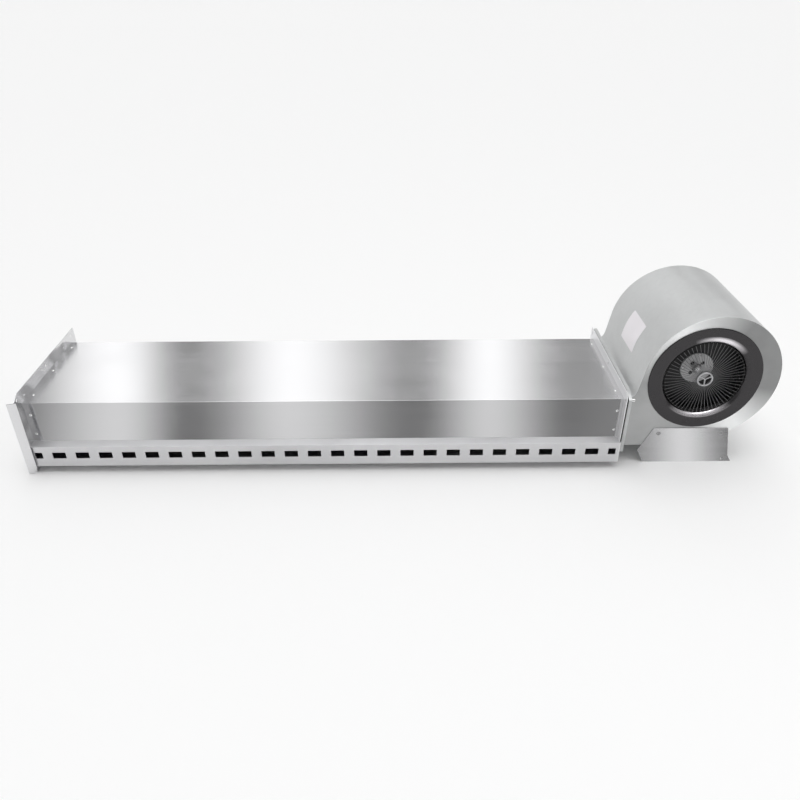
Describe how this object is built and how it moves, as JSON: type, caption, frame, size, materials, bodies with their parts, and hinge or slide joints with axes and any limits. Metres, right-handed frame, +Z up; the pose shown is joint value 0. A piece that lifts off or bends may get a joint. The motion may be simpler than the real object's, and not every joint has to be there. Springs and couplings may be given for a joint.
{
  "type": "air curtain",
  "caption": "Long sheet-metal air duct with a slotted nozzle strip, fed from one end by a centrifugal blower on foot brackets.",
  "frame": {"origin": "middle of the footprint, on the ground that the feet stand on", "axes": "+X along the duct from its closed end to the blower, +Y from the nozzle side to the back, +Z up"},
  "size_m": [1.895, 0.4102, 0.416],
  "materials": {
    "brushed_stainless": "lengthwise brushed stainless sheet, nearly mirror bright",
    "inner_sheet": "plain folded sheet inside the duct",
    "galvanised_sheet": "pale satin galvanised sheet",
    "charcoal_paint": "semi-gloss charcoal paint",
    "wheel_paint": "dark satin paint",
    "guard_wire": "drawn grey wire",
    "bright_fasteners": "bright plated steel",
    "ground_steel": "ground bearing and shaft steel",
    "black_steel": "blackened steel",
    "laminated_steel": "stacked core steel",
    "copper_windings": "enamelled copper windings",
    "motor_paint": "grey motor paint",
    "soft_rubber": "black rubber",
    "grey_plastic": "moulded grey plastic",
    "dark_plastic": "moulded black plastic",
    "label_white": "blank white film"
  },
  "bodies": {
    "housing": {"duct_cover": "brushed_stainless", "duct_back_panel": "brushed_stainless", "nozzle_strip": "brushed_stainless", "flow_vane": "inner_sheet", "cover_braces": "inner_sheet", "left_end_plate": "brushed_stainless", "right_end_plate": "brushed_stainless", "cover_rivets": "bright_fasteners", "seam_rivet_row": "bright_fasteners", "flange_gasket": "soft_rubber", "outlet_flange": "galvanised_sheet", "flange_bolts": "bright_fasteners", "flange_washers": "bright_fasteners", "scroll_wrapper": "galvanised_sheet", "front_side_plate": "galvanised_sheet", "back_side_plate": "galvanised_sheet", "inlet_ring": "charcoal_paint", "guard_rim": "guard_wire", "guard_wires": "guard_wire", "guard_hub": "guard_wire", "front_bearing": "ground_steel", "rear_bearing": "ground_steel", "motor_shell": "motor_paint", "motor_front_cover": "motor_paint", "motor_rear_cover": "motor_paint", "stator_core": "laminated_steel", "stator_windings": "copper_windings", "motor_mount_plate": "galvanised_sheet", "motor_screws": "bright_fasteners", "motor_dampers": "soft_rubber", "mount_bolts": "bright_fasteners", "motor_lead": "soft_rubber", "lead_grommet": "soft_rubber", "terminal_box": "grey_plastic", "terminal_lid": "grey_plastic", "lid_screws": "bright_fasteners", "terminal_block": "dark_plastic", "run_capacitor": "grey_plastic", "cable_gland": "dark_plastic", "front_foot": "brushed_stainless", "rear_foot": "brushed_stainless", "foot_screws": "bright_fasteners", "label_plate": "label_white"},
    "fan_wheel": {"wheel_front_ring": "wheel_paint", "wheel_back_ring": "wheel_paint", "wheel_blades": "wheel_paint", "wheel_disc": "wheel_paint", "wheel_hub": "bright_fasteners", "hub_rivets": "bright_fasteners", "hub_set_screw": "black_steel", "motor_shaft": "ground_steel", "rotor_core": "laminated_steel"}
  },
  "joints": [
    {"name": "wheel_spin", "type": "hinge", "parent": "housing", "child": "fan_wheel", "pos_m": [0.7625, -0.10905, 0.249], "axis": [0, 1, 0], "continuous": true}
  ]
}
